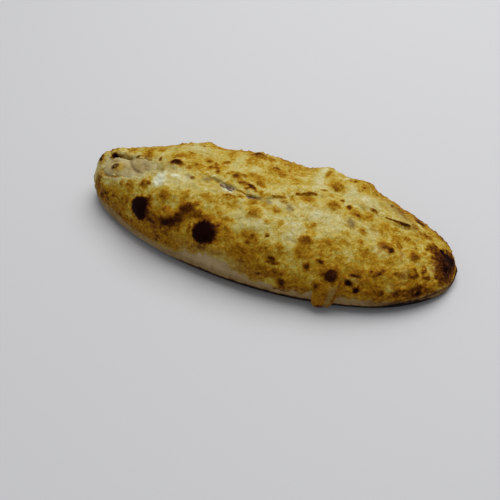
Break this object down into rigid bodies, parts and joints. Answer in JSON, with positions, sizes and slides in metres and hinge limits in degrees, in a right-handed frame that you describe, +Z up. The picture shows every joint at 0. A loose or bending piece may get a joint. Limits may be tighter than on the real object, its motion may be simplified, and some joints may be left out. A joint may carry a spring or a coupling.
{
  "type": "tuna pizza stick",
  "caption": "Long folded flatbread stick, baked shut over a tuna filling, with a browned melted cheese crust.",
  "frame": {"origin": "bottom centre of the whole bread, on the surface that it lies on", "axes": "+X along the bread towards its tapering end, -Y towards the front with the run of melted cheese, +Z up"},
  "size_m": [0.252, 0.1022, 0.0466],
  "materials": {
    "dough": "baked bread crust, matt and floury, pale beige-grey on the pinched end and the rim, golden tan where it browned",
    "cheese": "melted and set cheese, pale cream to golden brown, slightly oily, with brown bubbles and a few burnt black blisters",
    "tuna": "cooked flaked tuna, moist, greyish beige with a lilac cast"
  },
  "bodies": {
    "root": {"dough": "dough", "cheese": "cheese", "tuna_filling": "tuna"}
  },
  "joints": []
}
